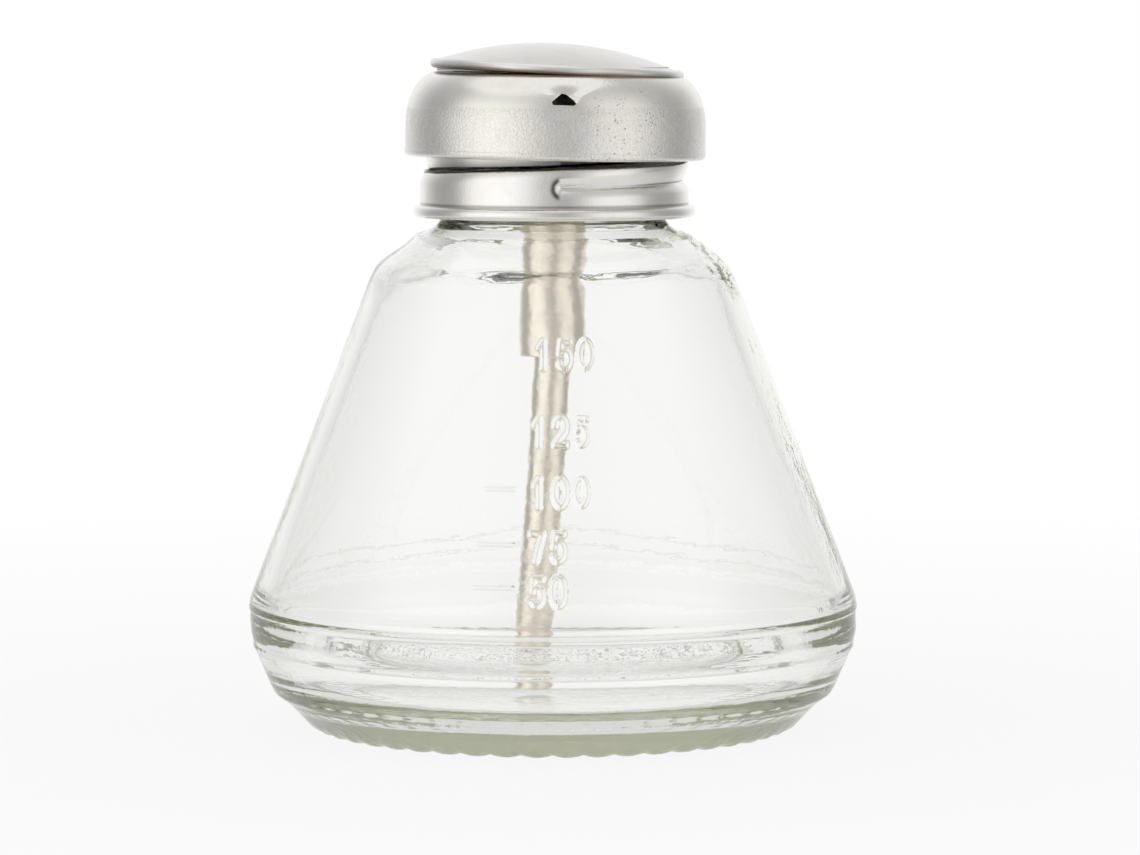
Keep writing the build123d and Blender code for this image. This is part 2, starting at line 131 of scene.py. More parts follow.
# Head
head_turn = 3.8
head_lean = 1.0
head_shift = 0.35
lid_lean = 3.0
lid_play = 0.4
band_lift = 0.45
dome_drop = 0.2
lid_shift = 0.2
sheet = 0.5
band_radius = 19.8
band_flat_radius = 15.6
band_shoulder = 79.0
band_curl = 0.7
lid_radius = 16.7
lid_hem = 1.3

# Return spring
spring_wire = 0.6
spring_turns = 5


# Profiles of (radius, height)

def arc(middle, across, high_half, start, end, steps):
    """Points along an ellipse's arc between two angles."""
    angles = np.radians(np.linspace(start, end, steps + 1))
    return [(middle[0] + across * math.cos(a), middle[1] + high_half * math.sin(a)) for a in angles]


def rounded(corners, steps=6):
    """Points of an outline whose corners (radius, height, rounding) are rounded off."""
    points = []
    last = len(corners) - 1
    for index, corner in enumerate(corners):
        here = np.array(corner[:2], float)
        if len(corner) == 2 or index in (0, last):
            points.append(tuple(here))
            continue
        back = np.array(corners[index - 1][:2], float) - here
        ahead = np.array(corners[index + 1][:2], float) - here
        back /= np.linalg.norm(back)
        ahead /= np.linalg.norm(ahead)
        half = math.acos(max(-1, min(1, float(back @ ahead)))) / 2
        reach = corner[2] / math.tan(half)
        middle = here + (back + ahead) / np.linalg.norm(back + ahead) * (corner[2] / math.sin(half))
        first, end = here + back * reach - middle, here + ahead * reach - middle
        for step in range(steps + 1):
            share = step / steps
            spoke = first * (1 - share) + end * share
            spoke *= corner[2] / np.linalg.norm(spoke)
            points.append(tuple(middle + spoke))
    return points


def divided(points, step):
    """The outline with its longer runs divided evenly."""
    made = [points[0]]
    for a, b in zip(points, points[1:]):
        count = max(1, math.ceil(math.dist(a, b) / step))
        for k in range(1, count + 1):
            made.append((a[0] + (b[0] - a[0]) * k / count, a[1] + (b[1] - a[1]) * k / count))
    return made


def supported(points, margin):
    """The outline with a point near each end of its longer runs, so that flat runs shade flat."""
    made = [points[0]]
    for a, b in zip(points, points[1:]):
        length = math.dist(a, b)
        if length > 3 * margin:
            share = margin / length
            made.append((a[0] + (b[0] - a[0]) * share, a[1] + (b[1] - a[1]) * share))
            made.append((b[0] + (a[0] - b[0]) * share, b[1] + (a[1] - b[1]) * share))
        made.append(b)
    return made


def unit(value):
    return np.clip(value, 0, 1)


def bell(value, middle, reach):
    """One at the middle, falling away over the reach to either side."""
    return np.exp(-(((value - middle) / reach) ** 2))


def from_front(angle):
    """Degrees from the front, to the right, or to the left where less than nothing."""
    return (angle - FRONT + 180) % 360 - 180


# Turned surfaces

def turned_faces(rows, columns, closed, window, fine):
    """Faces of a turned grid as lists of (row, column) keys, the window's cells divided into fine ones."""
    front = columns // 2

    def inside(r, c):
        return window and window[0] <= r < window[1] and -window[2] <= c - front < window[3]

    faces = []
    for r in range(rows if closed else rows - 1):
        for c in range(columns):
            r0, r1, c0, c1 = r * fine, (r + 1) * fine, c * fine, (c + 1) * fine
            if inside(r, c):
                for i in range(r0, r1):
                    faces += [[(i, j), (i, j + 1), (i + 1, j + 1), (i + 1, j)] for j in range(c0, c1)]
                continue
            # Each side runs on from its first corner, in small steps where the cell beyond it is fine
            face = []
            for beyond, (i, j), down, right in (
                ((r - 1, c), (r0, c0), 0, 1), ((r, c + 1), (r0, c1), 1, 0),
                ((r + 1, c), (r1, c1), 0, -1), ((r, c - 1), (r1, c0), -1, 0),
            ):
                face += [(i + down * k, j + right * k) for k in range(fine if inside(*beyond) else 1)]
            faces.append(face)
    return faces


def turned(name, profile, columns, form=None, closed=False, window=None, fine=1):
    """Mesh turned about Z, whose points form(angle, radius, height) moves.

    The window is a finer patch: its rows from and to, and its columns to the left and right of the front.
    """
    rows = len(profile)
    numbers = {}
    polygons = []

    def number(i, j):
        """Number of a grid point. A point on the axis is one for all columns."""
        if closed:
            i %= rows * fine
        on_axis = not closed and i in (0, (rows - 1) * fine) and profile[i // fine][0] == 0
        return numbers.setdefault((i, 0 if on_axis else j % (columns * fine)), len(numbers))

    for face in turned_faces(rows, columns, closed, window, fine):
        corners = list(dict.fromkeys(number(i, j) for i, j in face))
        if len(corners) > 2:
            polygons.append(corners)
    row, column = np.array(list(numbers), float).T / fine
    radius, height = (np.interp(row, range(rows + 1), line) for line in zip(*profile, profile[0]))
    angle = FRONT - 180 + 360 * column / columns
    if form:
        radius, height = form(angle, radius, height)
    turn = np.radians(angle)
    points = np.stack([radius * np.cos(turn), radius * np.sin(turn), height], 1)
    return mesh_piece(name, points, polygons)


def mesh_points(mesh):
    """Places of a mesh's points, in metres."""
    points = np.zeros(len(mesh.vertices) * 3)
    mesh.vertices.foreach_get("co", points)
    return points.reshape(-1, 3)


def mark_points(piece, marks):
    """Keeps how dirty each point is, from nothing to one, for the piece's material."""
    layer = piece.data.attributes.new("shade_and_grime", "FLOAT", "POINT")
    layer.data.foreach_set("value", marks)


def signed_volume(mesh):
    mesh.calc_loop_triangles()
    corners = np.zeros(len(mesh.loop_triangles) * 3, np.int32)
    mesh.loop_triangles.foreach_get("vertices", corners)
    a, b, c = mesh_points(mesh)[corners.reshape(-1, 3)].transpose(1, 0, 2)
    return float(np.einsum("ij,ij->", a, np.cross(b, c))) / 6


def new_object(name, data):
    made = bpy.data.objects.new(name, data)
    bpy.context.scene.collection.objects.link(made)
    return made


def mesh_piece(name, points, polygons, sharp=35):
    """Object from points in millimetres, with its faces turned outwards and shaded smooth."""
    mesh = bpy.data.meshes.new(name)
    mesh.from_pydata((np.asarray(points) * MM).tolist(), [], polygons)
    mesh.update()
    if signed_volume(mesh) < 0:
        mesh.flip_normals()
    mesh.shade_smooth()
    mesh.set_sharp_from_angle(angle=math.radians(sharp))
    return new_object(name, mesh)


def sleeve(rows, sides, base=0, stride=None):
    """Faces between rows of points that go round once each, from the point numbered base."""
    stride = stride or sides
    faces = []
    for start in range(base, base + rows * stride, stride):
        for side in range(sides):
            a, b = start + side, start + (side + 1) % sides
            faces.append([a, b, b + stride, a + stride])
    return faces


def turn_piece(piece, degrees):
    """Turns a piece's points about Z."""
    piece.data.transform(Matrix.Rotation(math.radians(degrees), 4, "Z"))


def lean_piece(piece, degrees, height, lift=0.0, aside=0.0):
    """Leans a piece to the right about a point on the axis, and moves it by the head's loose play."""
    shift = Matrix.Translation((0, 0, height * MM))
    piece.data.transform(shift @ Matrix.Rotation(math.radians(degrees), 4, "Y") @ shift.inverted())
    piece.data.transform(Matrix.Translation(((head_shift + aside) * MM, 0, lift * MM)))


def finish_piece(piece, body, slot, *nodes, material=None):
    piece.data.materials.clear()
    piece.data.materials.append(material or by_slot[slot])
    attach(piece, body)
    if nodes:
        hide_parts(*nodes)


# Node helpers

def new_material(name):
    """Empty material, and the place on the object that its patterns follow."""
    material = bpy.data.materials.new(name)
    material.use_nodes = True
    material.node_tree.nodes.clear()
    return material, node("TexCoord", tree=material.node_tree).outputs["Object"]


def finish_material(material, sockets):
    """Gives a material one principled shader."""
    node("OutputMaterial", {"Surface": node("BsdfPrincipled", sockets).outputs[0]})
    return material


def is_linked(value):
    """Whether a value comes out of another node."""
    return hasattr(value, "is_output")


def node(kind, inputs=None, tree=None, **settings):
    """Node in the given tree, or else in that of its first linked input."""
    inputs = inputs or {}
    tree = tree or next(value.id_data for value in inputs.values() if is_linked(value))
    made = tree.nodes.new("ShaderNode" + kind)
    for key, value in settings.items():
        setattr(made, key, value)
    for key, value in inputs.items():
        if is_linked(value):
            tree.links.new(value, made.inputs[key])
        else:
            made.inputs[key].default_value = value
    return made


def ramp(factor, stops):
    made = node("ValToRGB", {"Fac": factor})
    elements = made.color_ramp.elements
    while len(elements) < len(stops):
        elements.new(0.5)
    for element, (place, value) in zip(elements, stops):
        element.position = place
        element.color = (value, value, value, 1)
    return made.outputs["Color"]


def noise(vector, scale, detail, roughness):
    """Noise whose grain is scale millimetres across."""
    inputs = {"Vector": vector, "Scale": 1 / (scale * MM), "Detail": detail, "Roughness": roughness}
    return node("TexNoise", inputs).outputs["Fac"]


def calc(operation, *values):
    return node("Math", dict(enumerate(values)), operation=operation).outputs[0]


def times(a, b):
    return calc("MULTIPLY", a, b)


def minus(a, b):
    return calc("SUBTRACT", a, b)


def scaled(value, by, plus):
    return calc("MULTIPLY_ADD", value, by, plus)


def larger(a, b):
    return calc("MAXIMUM", a, b)


def clamped(value, lowest=0.0):
    return calc("MINIMUM", larger(value, lowest), 1.0)


def passed(value, start, slope, lowest=0.0):
    """How far a length in metres is past a start in millimetres, times slope and clamped."""
    return clamped(scaled(value, slope / MM, -slope * start), lowest)


def axes(vector):
    """The three parts of a vector."""
    return node("SeparateXYZ", {"Vector": vector}).outputs


def vector_length(vector):
    return node("VectorMath", {0: vector}, operation="LENGTH").outputs["Value"]


def stretched(vector, scales):
    return node("Mapping", {"Vector": vector, "Scale": scales}).outputs[0]


def colour_mix(factor, a, b, blend="MIX"):
    """Mix of two colours, each of them a node's output or a plain colour."""
    a, b = (colour if is_linked(colour) else (*colour, 1) for colour in (a, b))
    inputs = {0: factor, 6: a, 7: b}
    return node("Mix", inputs, data_type="RGBA", blend_type=blend).outputs[2]


def bump(height, distance, normal=None):
    """Bump whose full height is distance millimetres."""
    inputs = {"Height": height, "Distance": distance * MM, "Strength": 1.0}
    if normal:
        inputs["Normal"] = normal
    return node("Bump", inputs).outputs[0]


# Materials

pit_cell = 0.55


def add_pits(place, tint, normal, colour, depth, middle, reach):
    """Dark corroded pits that gather round a place on the surface."""
    cells = {"Vector": place, "Scale": 1 / (pit_cell * MM), "Randomness": 1.0}
    specks = node("TexVoronoi", cells).outputs["Distance"]
    clear = ramp(specks, [(0.13, 0.0), (0.24, 1.0)])
    patch = ramp(noise(place, 2.4, 3.0, 0.6), [(0.44, 1.0), (0.56, 0.0)])
    ends = {0: place, 1: tuple(v * MM for v in middle)}
    away = node("VectorMath", ends, operation="DISTANCE").outputs["Value"]
    outside = passed(away, reach / 2, 2 / reach)
    clear = larger(clear, larger(patch, outside))
    pit_dark = tuple(c * 0.5 for c in colour)
    return colour_mix(clear, pit_dark, tint), bump(clear, depth, normal)


def stained(place, blotch, colour, stain):
    """A metal's colour with faint warm clouds and darker blotches."""
    cloud = noise(place, 7.0, 5.0, 0.55)
    warm = tuple(c * w for c, w in zip(colour, (1.0, 0.985, 0.955)))
    dark = tuple(c * (1 - 2.5 * stain) for c in colour)
    tint = colour_mix(ramp(cloud, [(0.35, 0.0), (0.7, 1.0)]), colour, warm)
    return colour_mix(ramp(blotch, [(0.52, 0.0), (0.85, 1.0)]), tint, dark)


def metal(name, colour, roughness, stain, grain=0.12, relief=0.004, streaks=0.0, dents=0.0,
          pits=None, border=None, shade_and_grime=None):
    """Nickel or steel: base colour with faint stains, worn patches in the gloss, and a fine grain.

    Below the border, a height, the grain is stronger. pits is a depth, a place and a reach, and the last
    argument is the colour painted where the mesh marks shade and grime.
    """
    material, place = new_material(name)
    blotch = noise(place, 2.2, 4.0, 0.6)
    dust = noise(place, grain, 3.0, 0.7)
    tint = stained(place, blotch, colour, stain)
    rough = scaled(blotch, roughness * 0.5, roughness * 0.75)
    rough = scaled(dust, roughness * 0.3, rough)
    if border:
        dust = times(dust, passed(axes(place)[2], border, -2.0, 0.35))
        tint = colour_mix(1.0, tint, ramp(dust, [(0.38, 1.0), (0.66, 0.87)]), "MULTIPLY")
    normal = bump(dust, relief)
    if dents:
        normal = bump(noise(place, 4.0, 2.0, 0.5), 3 * dents, normal)
        normal = bump(noise(stretched(place, (0.3, 0.3, 1.0)), 1.3, 3.0, 0.6), dents, normal)
    if streaks:
        lines = noise(stretched(place, (1.0, 1.0, 0.04)), 0.5, 3.0, 0.6)
        normal = bump(lines, streaks, normal)
        tint = colour_mix(1.0, tint, ramp(lines, [(0.35, 0.975), (0.65, 1.0)]), "MULTIPLY")
    if pits:
        tint, normal = add_pits(place, tint, normal, colour, *pits)
    # Paints the colour towards the given one where the mesh marks it: painted shade with some tarnish on the
    # collar, a dark brown on the lid's hem
    if shade_and_grime:
        shading_grime = node("Attribute", tree=place.id_data, attribute_name="shade_and_grime").outputs["Fac"]
        tint = colour_mix(shading_grime, tint, shade_and_grime)
    sockets = {"Base Color": tint, "Metallic": 1.0, "Roughness": rough, "Normal": normal}
    return finish_material(material, sockets)


# Half the height of a tick beside a number, how it fades at its ends, and how far back ticks reach
tick_half = 0.24
tick_fade = 0.4
tick_back = -20


def tick_height(place):
    """Height of the short raised lines beside the numbers, from nothing to one."""
    x, y, z = axes(place)
    total = 0.0
    for left, right, level in ticks:
        away = calc("ABSOLUTE", minus(z, level * MM))
        line = minus(1.0, calc("DIVIDE", away, tick_half * MM))
        for end, way in ((left, 1), (right, -1)):
            inside = times(minus(x, end * MM), way / (tick_fade * MM))
            line = times(line, clamped(inside))
        total = larger(total, line)
    return times(total, calc("LESS_THAN", y, tick_back * MM))


# Lines in the glass: level in front and at the sides, rise towards the back, swing either way
flow_levels = ((17.0, 2.6, 5.0), (15.4, 2.2, 4.4))
flow_half = 0.3


def flow_lines(place, height, radius):
    """Thin wavy lines inside the cone's back, where the glass settled in its mould, from nothing to one. The
    glass's colour is darkened along them as painted shade for the light that they bend.
    """
    back = larger(calc("DIVIDE", axes(place)[1], radius), 0.0)
    behind = clamped(times(back, 6.0))
    wander = noise(stretched(place, (1.0, 1.0, 0.0)), 19.0, 0.6, 0.4)
    total = 0.0
    for level, rise, swing in flow_levels:
        crest = scaled(back, rise, level)
        crest = scaled(wander, swing, crest)
        away = minus(times(height, 1 / MM), crest)
        share = calc("DIVIDE", calc("ABSOLUTE", away), flow_half)
        total = larger(total, minus(1.0, share))
    middle = scaled(height, -math.tan(cone_slope) / MM, cone_radius(0) - side_wall / 2)
    inside = calc("LESS_THAN", times(radius, 1 / MM), middle)
    return times(times(total, inside), behind)


# Where the glass is streaked, near its neck and heel, and stippled, on its floor and underside
chill_bottom = 57.0
heel_chill_top = 7.0
floor_middle = 5.4
floor_half = 1.3
pebble_radius = 33.5
underside_top = 2.3


def chilled(place, height, normal):
    """Streaks round the neck and the heel, where the glass cooled first."""
    chill = noise(stretched(place, (0.22, 0.22, 1.0)), 1.9, 2.0, 0.5)
    neck = passed(height, chill_bottom, 0.5)
    heel = passed(height, heel_chill_top, -0.5)
    where = larger(neck, times(heel, 0.8))
    return bump(times(chill, where), 0.12, normal)


def glass_skin(place, height, marks, on_floor):
    """Waves, streaks, raised marks and a stippled floor and underside."""
    wave = noise(stretched(place, (1.0, 1.0, 0.45)), 14.0, 2.0, 0.4)
    ripple = noise(stretched(place, (0.25, 0.25, 1.0)), 1.6, 2.0, 0.5)
    normal = bump(ripple, 0.012, bump(wave, 0.1))
    normal = bump(noise(place, 1.5, 2.0, 0.5), 0.011, normal)
    normal = bump(marks, 0.035, chilled(place, height, normal))
    pebbles = noise(place, 0.8, 2.0, 0.5)
    under = calc("LESS_THAN", height, underside_top * MM)
    stippled = larger(on_floor, times(under, 1.6))
    return bump(times(pebbles, stippled), 0.05, normal)


def glass(name):
    """Clear pressed glass with a faint green-grey in its thick parts and soft waves on its skin."""
    material, place = new_material(name)
    tree = material.node_tree
    height = axes(place)[2]
    radius = vector_length(stretched(place, (1.0, 1.0, 0.0)))
    marks = tick_height(place)
    off_floor = calc("ABSOLUTE", minus(height, floor_middle * MM))
    on_floor = calc("LESS_THAN", off_floor, floor_half * MM)
    on_floor = times(on_floor, calc("LESS_THAN", radius, pebble_radius * MM))
    # The glass's colour is darkened along the flow lines and the ticks as painted shade for the light that
    # they bend
    lines = larger(flow_lines(place, height, radius), times(marks, 0.85))
    body = node("BsdfPrincipled", {
        "Base Color": colour_mix(clamped(lines), (1.0, 1.0, 1.0), (0.76, 0.77, 0.73)),
        "Roughness": times(on_floor, 0.07),
        "IOR": 1.5,
        "Transmission Weight": 1.0,
        "Normal": glass_skin(place, height, marks, on_floor),
    })
    clear = node("BsdfTransparent", {"Color": (0.93, 0.94, 0.92, 1)}, tree)
    shadow = node("LightPath", tree=tree).outputs["Is Shadow Ray"]
    mixed = node("MixShader", {0: shadow, 1: body.outputs[0], 2: clear.outputs[0]})
    depth = node("VolumeAbsorption", {"Color": (0.44, 0.48, 0.12, 1), "Density": 10.5}, tree)
    node("OutputMaterial", {"Surface": mixed.outputs[0], "Volume": depth.outputs[0]})
    return material


def plastic(name, colour):
    """Moulded plastic with a fine flow texture."""
    material, place = new_material(name)
    flow = noise(place, 3.0, 4.0, 0.5)
    grain = noise(place, 0.15, 2.0, 0.5)
    shade = tuple(c * 0.9 for c in colour)
    return finish_material(material, {
        "Base Color": colour_mix(flow, shade, colour),
        "Roughness": scaled(grain, 0.15, 0.4),
        "Normal": bump(grain, 0.006),
        "Subsurface Weight": 0.05,
    })


def rubber(name, colour):
    """Matt rubber with a dusty bloom."""
    material, place = new_material(name)
    bloom = noise(place, 1.5, 5.0, 0.6)
    grain = noise(place, 0.12, 2.0, 0.5)
    dusty = tuple(c + 0.05 for c in colour)
    return finish_material(material, {
        "Base Color": colour_mix(bloom, colour, dusty),
        "Roughness": scaled(bloom, 0.2, 0.6),
        "Normal": bump(grain, 0.01),
    })


# Bottle

# Heights and outer radii of the foot, with round blends at the heel and the belt
foot_heights = (0.0, 0.7, 2.8, 3.6, 4.4, 5.1, 5.9, 7.5, 9.1, 10.7, belt_height)
foot_radii = (foot_outer, 32.6, 34.5, 35.35, 36.35, 37.1, 37.6, 38.25, 38.95, 39.6, belt_radius)


def cone_radius(height):
    return belt_radius - (height - cone_height) * math.tan(cone_slope)


def rib_bump(height):
    """How far the three ribs stand out at a height."""
    shares = [unit(np.abs(height - middle) / rib_half) for middle in rib_heights]
    return sum(rib_stand * (1 + np.cos(math.pi * share)) / 2 for share in shares)


def foot_outline():
    """Underside, bearing ring and side of the foot, up to the cone."""
    under = [(0, push_up + 0.6), (9, push_up + 0.5), (18, push_up + 0.25), (foot_inner - 2.2, push_up)]
    ring = arc((foot_inner, push_up), 1.2, 0.9, 200, 268, 5) + [(foot_inner + 0.7, 0.02)]
    flat = [(foot_inner + 1.4, 0), (foot_outer - 0.6, 0)]
    heights = np.concatenate([
        [0.15, 0.4, 0.7, 1.4, 2.1],
        np.arange(2.8, 6.0, 0.2),
        np.arange(6.2, 9.9, 0.6),
        np.arange(10.0, 12.0, 0.2),
        np.arange(12.2, 15.0, 0.7),
        np.arange(15.1, cone_height - 0.5, 0.2),
        [cone_height - 0.4],
    ])
    side = list(zip(np.interp(heights, foot_heights, foot_radii), heights))
    turn = rounded([
        (belt_radius, cone_height - 0.4),
        (belt_radius, cone_height, 1.2),
        (cone_radius(cone_start), cone_start),
    ])
    return divided(under, 1.5) + ring + divided(flat, 0.5) + side + turn[1:]


def neck_outline():
    """Shoulder above the cone and the neck's threaded side."""
    neck = rounded([
        (cone_radius(cone_end), cone_end),
        (23.2, 61.2, 4.0), (21.7, 62.35, 2.0), (19.7, 63.8, 1.2), (18.65, 64.65, 0.9),
        (18.05, 65.2, 0.8), (15.9, 65.9, 0.9), (14.95, 66.8, 0.8), (14.9, 68.4, 1.0),
        (finish_radius, 69.2, 0.5),
        (finish_radius, 70.0),
    ], 5)
    return neck[1:] + divided([(finish_radius, 70.0), (finish_radius, neck_top - 0.9)], 0.22)[1:]


def inner_outline():
    """Lip, bore, inner wall and floor."""
    bore = rounded([
        (finish_radius, neck_top - 0.9),
        (finish_radius, neck_top, 0.6),
        (bore_radius, neck_top, 0.6),
        (bore_radius, 66.6, 4.2),
        (21.2, 59.4, 4.5),
        (cone_radius(56.0) - side_wall, 56.0),
    ], 7)
    inside = [(cone_radius(height) - side_wall, height) for height in np.linspace(55.2, inner_end, 38)]
    floor = rounded([
        inside[-1],
        (inside[-1][0], cone_height - 1.2, 2.0),
        (heel_radius - side_wall, floor_height, 7.0),
        (24, floor_height, 8.0),
        (0, floor_height + 0.5),
    ], 9)
    return bore[1:] + inside + floor[1:]


def bottle_outline():
    """Outline of the glass from under its middle to the middle of its floor, and the cone's first row."""
    foot = foot_outline()
    heights = [cone_start + (cone_end - cone_start) * row / cone_rows for row in range(1, cone_rows + 1)]
    cone = [(cone_radius(height), height) for height in heights]
    return foot + cone + neck_outline() + inner_outline(), len(foot)


# Centre line of each digit in a box one wide and one high
glyphs = {
    "0": arc((0.5, 0.5), 0.5, 0.5, 0, 360, 20),
    "1": [(0.15, 0.78), (0.5, 1.0), (0.5, 0.0)],
    "2": arc((0.5, 0.7), 0.45, 0.3, 165, -35, 10) + [(0.05, 0.0), (0.98, 0.0)],
    "5": [(0.92, 1.0), (0.22, 1.0), (0.12, 0.56)] + arc((0.47, 0.32), 0.48, 0.32, 128, -140, 12),
    "7": [(0.02, 1.0), (0.98, 1.0), (0.4, 0.0)],
}


def number_strokes(text, first, height):
    """Strokes of a number on the unrolled cone, from its first digit's middle and its height."""
    strokes = []
    for index, digit in enumerate(text):
        at = first + index * digit_step
        strokes.append([
            (at + (x - 0.5) * digit_width, height + (y - 0.5) * digit_height) for x, y in glyphs[digit]
        ])
    return strokes


def stroke_distance(across, up, strokes):
    """Distance of each point to the nearest stroke."""
    best = np.full(across.shape, 1e9)
    for line in strokes:
        for (x0, y0), (x1, y1) in zip(line, line[1:]):
            dx, dy = x1 - x0, y1 - y0
            along = unit(((across - x0) * dx + (up - y0) * dy) / max(dx * dx + dy * dy, 1e-9))
            best = np.minimum(best, np.hypot(across - x0 - along * dx, up - y0 - along * dy))
    return best


# Graduations: number, the middle of its first digit, its height
graduations = (
    ("50", -1.85, 22.0), ("75", -1.85, 27.4), ("100", -1.6, 34.0), ("125", -1.6, 41.4), ("150", -1.1, 50.9),
)
# Ticks beside the numbers: left end, right end, height
ticks = ((-10.0, -4.6, 22.15), (-9.5, -4.5, 27.4), (-8.6, -4.4, 34.15))


def waves(angle, height, seed):
    """Slow unevenness of pressed glass, within one either way."""
    rng = np.random.default_rng(seed)
    total = np.zeros_like(height)
    for turns in (1, 2, 3, 5, 7):
        phase, rate = rng.uniform(0, 360), rng.uniform(2.0, 7.0)
        total += np.sin(np.radians(turns * angle + rate * height + phase)) / 5
    return total


def foot_relief(angle, radius, height):
    """How far the ribs stand out of the foot, and how far the knurl lifts its ring."""
    on_foot = (height < cone_height) & (radius > foot_outer - 0.7)
    near_ring = unit(1 - np.abs(radius - ring_middle) / ring_half) * unit(1 - height / 3.0)
    scallop = 1 - np.abs(np.cos(np.radians(angle) * knurl_count / 2))
    return np.where(on_foot, rib_bump(height), 0), knurl_depth * scallop * np.minimum(1, 1.6 * near_ring)


def number_rise(angle, radius, height):
    """How far the graduations' numbers stand out of the front of the cone."""
    on_cone = (height > cone_height) & (height < cone_top) & (radius > cone_radius(height) - wall / 2)
    across = np.radians(from_front(angle)) * cone_radius(height)
    window = on_cone & (np.abs(across) < number_reach)
    strokes = [stroke for graduation in graduations for stroke in number_strokes(*graduation)]
    distance = np.full(height.shape, 1e9)
    distance[window] = stroke_distance(across[window], height[window], strokes)
    return stroke_rise * unit(1 - (distance / stroke_half) ** 2)


def inner_waves(angle, radius, height):
    """Slow waves of the cone's inner wall."""
    inner = (radius < cone_radius(height) - wall / 2) & (height > floor_height - 0.1) & (height < cone_top)
    ease = unit((height - floor_height) / 8) * unit((cone_top - height) / 6)
    return np.where(inner, 0.16 * ease * waves(angle, height, 5), 0)


def neck_lumps(angle, radius, height):
    """Unevenness of the flare below the neck, inside and outside."""
    turn = np.radians(angle)
    middle = np.interp(height, neck_middle_heights, neck_middle_radii)
    inside = (height > neck_middle_heights[0]) & (height < neck_top - 2) & (radius < middle)
    uneven = 0.34 * np.sin(4 * turn + 0.5 * height) * np.sin(turn + 1.9)
    uneven += 0.2 * np.sin(9 * turn - 0.8 * height + 1)
    outside = (height > 57.5) & (height < 67.5) & (radius > middle)
    lump = 0.2 * np.sin(5 * turn + 0.9 * height) * np.sin(2 * turn + 0.8)
    lump += 0.08 * np.sin(11 * turn + 2 * height)
    return inside * uneven * bell(height, *bore_lumps) + outside * lump * bell(height, *shoulder_lumps)


def thread_rise(angle, radius, height):
    """How far the screw thread stands out of the neck."""
    on_neck = (radius > finish_radius - 0.01) & (height > thread_bottom - 0.3) & (height < neck_top - 0.8)
    turns = (height - thread_height) / thread_pitch
    part = (angle - FRONT) / 360
    gap = np.abs(turns - np.round(turns - part) - part) * thread_pitch
    ends = unit((height - thread_bottom) / 0.8) * unit((neck_top - 1.0 - height) / 0.6)
    return on_neck * thread_stand * unit(1.35 - gap / thread_half) * ends


def bottle_form(angle, radius, height):
    """Ribs, knurl, thread, raised graduations and the unevenness of the glass."""
    place = (angle, radius, height)
    ribs, knurl = foot_relief(*place)
    rise = number_rise(*place)
    new_radius = radius + ribs + rise * math.cos(cone_slope)
    new_radius += inner_waves(*place) + neck_lumps(*place) + thread_rise(*place)
    return new_radius, height + knurl + rise * math.sin(cone_slope)


def make_bottle():
    profile, first = bottle_outline()
    window = (first, first - 1 + int(cone_rows * 0.9), 5, 9)
    piece = turned("glass_bottle", profile, 250, bottle_form, window=window, fine=7)
    finish_piece(piece, "bottle", "clear_glass", "bottle", material=glass("pressed_glass"))


# Collar

collar_sheet = 0.35
collar_radius = 17.7
collar_wall_bottom = collar_bottom + 2.1
collar_wall_top = collar_top - 1.3
collar_hole = 6.3
bead_rise = 0.78
collar_shift = 0.2
groove_over = 2.0
groove_under = 1.35
groove_depth = 0.85
dent_reach = 1.2
groove_front = 2.9
shoulder_depth = 0.5
shoulder_height = 1.6
crease_depth = 1.15
groove_end_turn = 500.0
# The rolled groove's crease, as degrees after its start and heights
crease_turns = (0, 72, 180, 295, 360, 433, 500)
crease_heights = (71.6, 72.15, 72.85, 73.35, 74.35, 75.35, 76.1)
# How far the painted shade and tarnish reach above the crease, at degrees after its start, and below it
shade_grime_turns = (0, 200, 280, 330, 360, 433)
shade_grime_above = (0.1, 0.12, 0.7, 1.5, 1.7, 1.6)
shade_grime_below = 0.07


def groove_place(angle, turn):
    """Degrees from the groove's start, in one of its turns."""
    return (angle - FRONT - groove_front) % 360 + turn


def crease_height(along):
    return np.interp(along, crease_turns, crease_heights)


def groove(angle, height):
    """Depth of the rolled thread's groove.

    It starts at a round dent in front as a crease between convex lands. In its second turn, under the
    band, it is a shelf above a round shoulder.
    """
    depth = np.zeros_like(height)
    for turn in (-360, 0, 360):
        along = groove_place(angle, turn)
        before = np.radians(np.minimum(along, 0)) * collar_radius
        offset = height - crease_height(along)
        second = unit((along - 200) / 80)
        after = unit((groove_end_turn - along) / 60)
        over = groove_over * (0.62 + 0.38 * unit(along / 60))
        aside = np.hypot(np.where(offset > 0, offset / over, offset / groove_under), before / dent_reach)
        # The crease's bottom is round instead of sharp
        soft = np.sqrt(aside**2 + 0.006) - 0.0775
        start = groove_depth * (0.75 + 0.25 * unit(along / 70))
        crease = start * unit(1 - soft) ** np.where(offset > 0, 1.25, 1.5)
        shelf = shoulder_depth + (crease_depth - shoulder_depth) * unit(offset / 0.25)
        shelf = shelf - 0.1 * np.clip(offset, 0, 3)
        shoulder = shoulder_depth * unit(1 + offset / shoulder_height) ** 2
        later = np.where(offset > 0, shelf, shoulder) * (along > 0)
        depth = np.maximum(depth, after * (crease * (1 - second) + later * second))
    return depth


def collar_form(angle, radius, height):
    on_wall = (height > collar_wall_bottom) & (radius > 16.9)
    ease = unit((height - collar_wall_bottom) / 0.5) * unit((collar_top - 0.5 - height) / 0.9)
    return radius - np.where(on_wall, ease * groove(angle, height), 0), height


